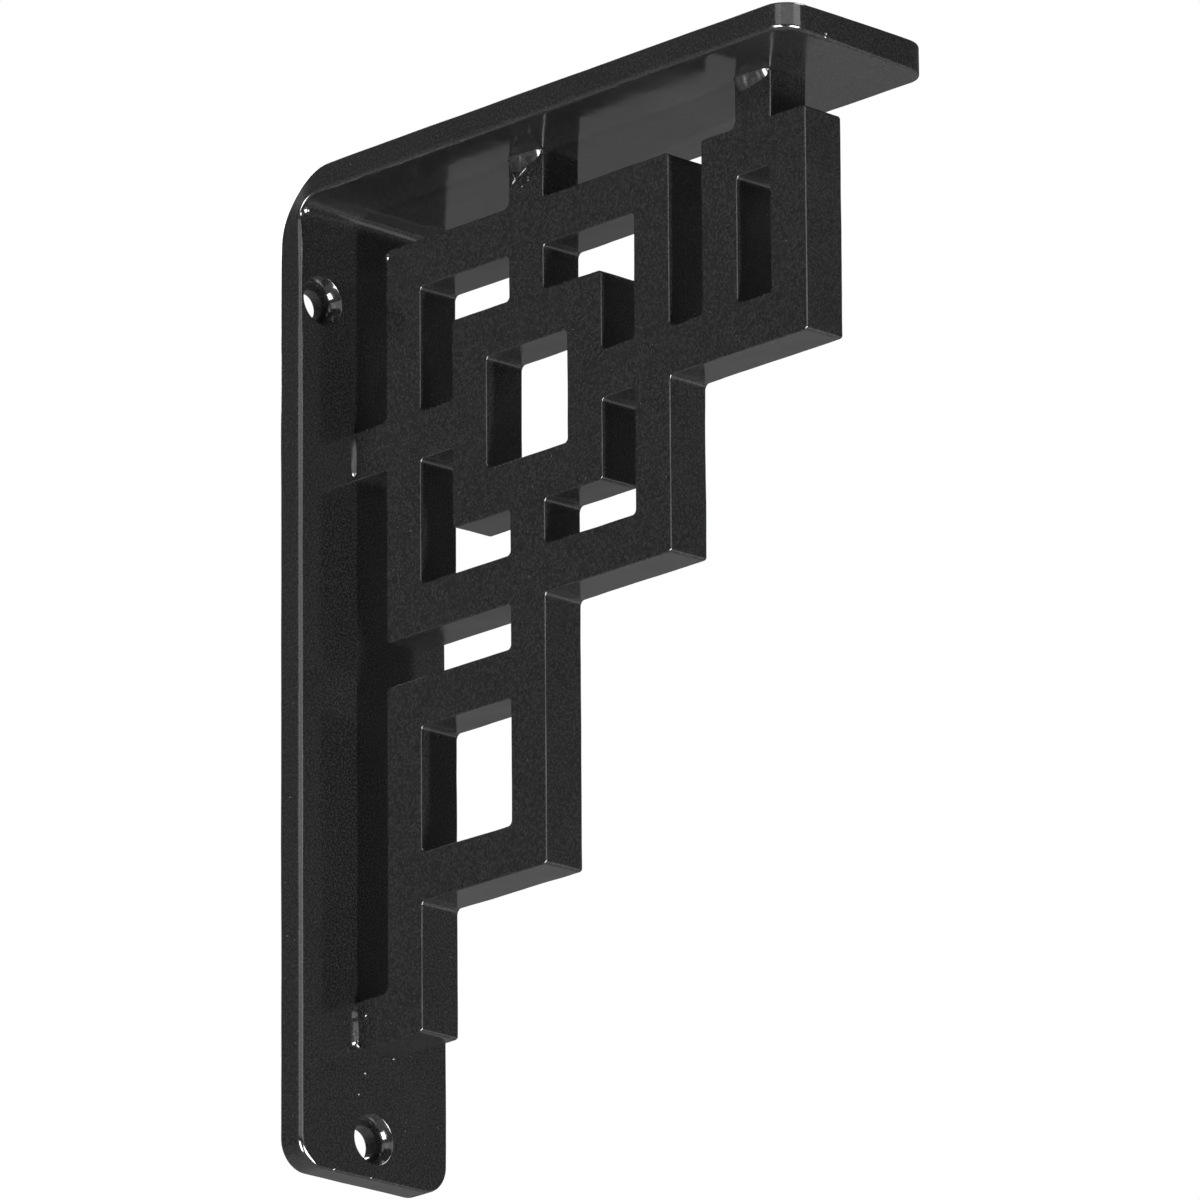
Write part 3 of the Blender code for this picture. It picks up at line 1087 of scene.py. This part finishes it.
@dataclass
class PaintNibs:
    """Dust nibs and small drops caught in the paint: low domes, half sunk in the surface."""

    bar: BentBar
    plate: OpenworkPlate
    rings: int = 5
    spokes: int = 10
    nib: tuple[float, float] = (0.11 * MM, 0.24 * MM)
    flatness: float = 0.6
    margin: float = 1.5 * MM
    below_bend: float = 50 * MM
    plate_tries: int = 260
    bar_nibs: int = 26
    seed: int = 71

    def domes(
        self, places: np.ndarray, normals: np.ndarray, sizes: np.ndarray, turns: np.ndarray
    ) -> Surface:
        """Make one flattened ball at each place.

        A ball is a unit sphere, rows of spokes between two poles, scaled by half its length along
        the surface, half its width across and its height along the normal.

        Args:
            places: (n, 3).
            normals: (n, 3) unit vectors.
            sizes: (n, 3) half lengths: up the surface, across it, and out of it.
            turns: (n,) how far each is turned round its normal, in degrees.

        Returns:
            All the balls as one mesh.
        """
        polar = np.pi * np.arange(1, self.rings + 1) / (self.rings + 1)
        turn = 2 * np.pi * np.arange(self.spokes) / self.spokes
        ring = np.stack(np.broadcast_arrays(
            np.sin(polar)[:, None] * np.cos(turn), np.sin(polar)[:, None] * np.sin(turn),
            np.cos(polar)[:, None],
        ), axis=-1).reshape(-1, 3)
        ball = np.vstack([[0.0, 0.0, 1.0], ring, [0.0, 0.0, -1.0]])
        up = np.array([0.0, 0.0, 1.0]) + 0 * normals
        up[np.abs(normals[:, 2]) > 0.9] = (1.0, 0.0, 0.0)
        across = np.cross(normals, up)
        across /= np.linalg.norm(across, axis=1, keepdims=True)
        up = np.cross(across, normals)
        cosine, sine = np.cos(np.radians(turns))[:, None], np.sin(np.radians(turns))[:, None]
        axes = np.stack([up * cosine + across * sine, across * cosine - up * sine, normals], axis=1)
        points = places[:, None] + np.einsum("pk,nk,nkj->npj", ball, sizes, axes)
        grid = 1 + np.arange(self.rings * self.spokes).reshape(self.rings, self.spokes)
        turned = np.roll(grid, -1, axis=1)
        quads = band(grid, turn_over=True)
        first = np.column_stack([np.zeros_like(grid[0]), grid[0], turned[0]])
        last = np.column_stack([np.full_like(grid[0], len(ball) - 1), turned[-1], grid[-1]])
        offset = len(ball) * np.arange(len(places))[:, None, None]
        quads = (quads[None] + offset).reshape(-1, 4)
        triangles = (np.vstack([first, last])[None] + offset).reshape(-1, 3)
        return Surface(points.reshape(-1, 3), quads, triangles)

    def scatter(self) -> tuple[np.ndarray, np.ndarray]:
        """Strew nibs over the plate's left face, the leg's room face and the bar's left side.

        Returns:
            Their places and normals.
        """
        random = np.random.default_rng(self.seed)
        bar, plate, margin = self.bar, self.plate, self.margin
        shapes = [plate.outline(), *plate.windows()]
        rings = [rounded_loop(shape, margin, 3).points for shape in shapes]
        spots = random.uniform(rings[0].min(axis=0), rings[0].max(axis=0), (self.plate_tries, 2))
        spots = spots[inside(spots, rings)]
        spots = spots[clear_of(spots, rings, margin)]
        near_y = np.full(len(spots), -plate.thickness / 2)
        on_plate = np.column_stack([spots[:, 0], near_y, spots[:, 1]])
        count, inner = self.bar_nibs, bar.half_width - 2 * margin
        on_leg = np.column_stack([
            np.full(count, bar.thickness),
            random.uniform(-inner, inner, count),
            random.uniform(bar.bottom + 4 * margin, bar.top - self.below_bend, count),
        ])
        on_side = np.column_stack([
            random.uniform(margin, bar.thickness - margin, count),
            np.full(count, -bar.half_width),
            random.uniform(bar.bottom + bar.foot_radius, bar.top - bar.outer_radius, count),
        ])
        normals = np.repeat([LEFT, ROOM, LEFT], [len(on_plate), count, count], axis=0)
        return np.vstack([on_plate, on_leg, on_side]), normals

    def drops(self) -> list[Drop]:
        """List the larger drops that the photo shows, and the streaks that grinding left.

        Returns:
            Drops at the arm's tip, the leg's lower end, the lower tab and the leg beside it, the
            plate's first corner, above the lower hole and in the bend's near corner, and streaks on
            the inner arm weld.
        """
        bar, plate = self.bar, self.plate
        near_y = -plate.thickness / 2
        low_left, low_right = (0.36, -0.84, -0.4), (0.82, -0.39, -0.42)
        tip = (bar.reach, 0.0, bar.top - bar.thickness)
        foot = (bar.thickness, 0.0, bar.bottom)
        bend = (bar.thickness, -bar.half_width, plate.arm_z)
        tab = (plate.bar_thickness, near_y, plate.foot_z)
        corner = (plate.xs[0], near_y, plate.zs[0])
        weld = (plate.xs[4], near_y, plate.arm_z)
        return [
            Drop(tip, (0.0, -11.176, 1.2), ROOM, (0.9, 0.6, 0.4)),
            Drop(foot, (-0.4, -13.716, 0.1), low_right, (0.5, 1.1, 0.55)),
            Drop(foot, (-0.4, -0.762, 0.1), low_right, (0.4, 0.7, 0.5)),
            Drop(tab, (4.0, 0.0, 8.8), LEFT, (0.9, 0.8, 0.35)),
            Drop(tab, (1.8, -0.6, 1.0), low_left, (1.2, 0.5, 0.45), 10.0),
            Drop(tab, (0.0, 13.75, 0.4), ROOM, (0.5, 0.8, 0.4), 20.0),
            Drop(tab, (0.0, 3.65, -5.2), ROOM, (0.6, 0.5, 0.35)),
            Drop(corner, (0.3, 0.2, -1.8), low_left, (1.4, 0.8, 0.4)),
            Drop(foot, (0.0, -5.08, 21.6), ROOM, (0.5, 0.35, 0.25)),
            Drop(bend, (1.8, 0.3, -2.8), low_left, (1.3, 1.3, 0.45)),
            Drop(weld, (2.2, -0.2, -4.4), LEFT, (1.2, 0.3, 0.35), 20.0),
            Drop(weld, (5.0, -0.2, -4.6), LEFT, (2.6, 0.24, 0.3), -58.0),
            Drop(weld, (2.0, -0.1, -6.0), LEFT, (1.4, 0.25, 0.3), -50.0),
            Drop(weld, (7.4, -0.1, -6.4), LEFT, (0.9, 0.3, 0.3)),
            Drop(weld, (4.0, 0.0, -8.4), LEFT, (1.5, 0.25, 0.2), -72.0),
        ]

    def make(self, workshop: Workshop, paint: bpy.types.Material) -> None:
        """Build the nibs and the drops as one piece.

        Args:
            workshop: where pieces are made.
            paint: their finish.
        """
        places, normals = self.scatter()
        random = np.random.default_rng(self.seed + 1)
        sizes = random.uniform(*self.nib, (len(places), 3)) * (1.0, 1.0, self.flatness)
        drops = self.drops()
        dropped = [np.array(drop.point) + np.array(drop.offset) * MM for drop in drops]
        turns = np.concatenate([np.zeros(len(places)), [drop.turn_deg for drop in drops]])
        places = np.vstack([places, dropped])
        normals = np.vstack([normals, [drop.facing for drop in drops]])
        sizes = np.vstack([sizes, np.array([drop.size for drop in drops]) * MM])
        workshop.piece("paint_nibs", self.domes(places, normals, sizes, turns), paint)


# Studio


def direction(round_deg: float, up_deg: float) -> Vector:
    """Point away from the bracket, towards a light or the camera.

    Args:
        round_deg: degrees round, counted from -Y towards +X.
        up_deg: degrees up from the level.

    Returns:
        A unit vector.
    """
    a, e = math.radians(round_deg), math.radians(up_deg)
    return Vector((math.sin(a) * math.cos(e), -math.cos(a) * math.cos(e), math.sin(e)))


@dataclass(frozen=True)
class Softbox:
    """A soft light that faces the bracket from a direction, given as degrees round and up."""

    name: str
    round_deg: float
    up_deg: float
    distance: float
    width: float
    height: float
    power: float
    part: Part

    def hang(self, aim: Vector) -> None:
        """Add the light, turned to a point.

        Args:
            aim: the point that it faces.
        """
        light = bpy.data.lights.new(self.name, "AREA")
        light.shape = "RECTANGLE"
        light.size = self.width
        light.size_y = self.height
        light.energy = self.power
        obj = show(self.name, light)
        ray = direction(self.round_deg, self.up_deg)
        obj.location = aim + ray * self.distance
        obj.rotation_euler = ray.to_track_quat("Z", "Y").to_euler()
        obj.visible_camera = False
        obj.visible_diffuse = self.part is Part.SOFT
        obj.visible_glossy = self.part is Part.SHINE


@dataclass
class Studio:
    """A plain pale floor far below, soft light all round, and the camera of the photo."""

    camera_round_deg: float = 46.763
    camera_up_deg: float = -17.268
    camera_roll_deg: float = -0.381
    camera_distance: float = 3.7471
    camera_lens: float = 440.98
    camera_aim: tuple[float, float, float] = (0.09405, 0.0, 0.00205)
    floor_drop: float = 1.75
    floor_half: float = 9.0
    surround: float = 0.14
    overhead: float = 0.60
    overhead_spread_deg: float = 30.0
    lights: tuple[Softbox, ...] = (
        Softbox("fill light", -10.0, 10.0, 2.2, 1.6, 1.6, 64.0, Part.SOFT),
        Softbox("room light", 84.5, -27.0, 0.7, 0.02, 0.35, 5.4, Part.SOFT),
        Softbox("low back light", 180.0, -45.0, 1.5, 1.0, 1.0, 32.0, Part.SOFT),
        Softbox("low left shine", 8.0, -30.0, 1.6, 0.9, 0.9, 135.0, Part.SHINE),
        Softbox("low right shine", 84.0, -30.0, 1.6, 1.0, 0.9, 150.0, Part.SHINE),
        Softbox("left shine", 14.0, 17.0, 2.0, 0.7, 1.0, 5.6, Part.SHINE),
        Softbox("middle shine", 52.0, 17.0, 2.0, 2.1, 1.0, 13.0, Part.SHINE),
        Softbox("right shine", 94.0, 17.0, 2.0, 0.9, 1.0, 10.0, Part.SHINE),
        Softbox("low back shine", 145.0, -34.0, 1.3, 0.35, 0.35, 0.46, Part.SHINE),
        Softbox("high back shine", 256.0, 28.0, 1.5, 0.8, 0.4, 9.0, Part.SHINE),
        Softbox("high right shine", 112.0, 45.0, 1.6, 0.8, 0.8, 60.0, Part.SHINE),
    )

    def set_camera(self) -> None:
        """Place the camera by its direction, distance and roll round its aim."""
        camera = bpy.data.cameras.new("camera")
        camera.lens = self.camera_lens
        camera.sensor_width = 36.0
        camera.clip_start = 0.1
        camera.clip_end = 40.0
        back = direction(self.camera_round_deg, self.camera_up_deg)
        roll = Matrix.Rotation(math.radians(self.camera_roll_deg), 3, "Z")
        turned = back.to_track_quat("Z", "Y").to_matrix() @ roll
        place = Vector(self.camera_aim) + back * self.camera_distance
        obj = show("camera", camera)
        obj.matrix_world = Matrix.Translation(place) @ turned.to_4x4()
        bpy.context.scene.camera = obj

    def lay_floor(self) -> None:
        """Lay the pale floor."""
        half, drop = self.floor_half, -self.floor_drop
        mesh = bpy.data.meshes.new("floor")
        corners = [(-half, -half, drop), (half, -half, drop), (half, half, drop), (-half, half, drop)]
        mesh.from_pydata(corners, [], [(0, 1, 2, 3)])
        nodes = Nodes("pale floor")
        nodes.shader.inputs["Base Color"].default_value = (0.85, 0.85, 0.85, 1.0)
        nodes.shader.inputs["Roughness"].default_value = 0.9
        mesh.materials.append(nodes.material)
        floor = show("floor", mesh)

    def light_surroundings(self) -> None:
        """Make the surroundings white to the camera, and a soft even grey as light."""
        world = bpy.data.worlds.new("studio")
        world.use_nodes = True
        tree = world.node_tree
        shown = tree.nodes["Background"]
        shown.inputs["Color"].default_value = (1.0, 1.0, 1.0, 1.0)
        soft = tree.nodes.new("ShaderNodeBackground")
        soft.inputs["Strength"].default_value = self.surround
        path = tree.nodes.new("ShaderNodeLightPath")
        mix = tree.nodes.new("ShaderNodeMixShader")
        tree.links.new(path.outputs["Is Camera Ray"], mix.inputs[0])
        tree.links.new(soft.outputs[0], mix.inputs[1])
        tree.links.new(shown.outputs[0], mix.inputs[2])
        tree.links.new(mix.outputs[0], tree.nodes["World Output"].inputs["Surface"])
        bpy.context.scene.world = world

    def light_floor(self) -> None:
        """Light the floor, and the bracket's upper faces, from straight overhead."""
        light = bpy.data.lights.new("overhead light", "SUN")
        light.energy = self.overhead
        light.angle = math.radians(self.overhead_spread_deg)
        obj = show("overhead light", light)
        obj.location = (0.0, 0.0, self.camera_distance)

    def make(self) -> None:
        """Set up the studio."""
        self.set_camera()
        self.lay_floor()
        self.light_surroundings()
        for light in self.lights:
            light.hang(Vector(self.camera_aim))
        self.light_floor()
        bpy.context.scene.view_settings.view_transform = "Standard"


def main() -> None:
    """Build the bracket piece by piece, then the studio."""
    logging.basicConfig(level=logging.INFO, format="%(name)s: %(message)s")
    workshop = Workshop()
    plate_paint = BlackPaint("black plate paint").make()
    bar_paint = BlackPaint("black bar paint").make()
    weld_paint = BlackPaint("black weld paint", gloss=(0.20, 0.34), grain_height=0.012 * MM).make()
    drop_paint = BlackPaint("black drop paint", gloss=(0.08, 0.14), grain_height=0.008 * MM).make()
    bar = BentBar()
    bar.make(workshop, bar_paint)
    plate = OpenworkPlate(bar.thickness)
    plate.make(workshop, plate_paint)
    Welds(plate).make(workshop, weld_paint)
    PaintNibs(bar, plate).make(workshop, drop_paint)
    LOG.info("%d pieces in all", len(workshop.made))
    Studio().make()


if __name__ == "__main__":
    main()
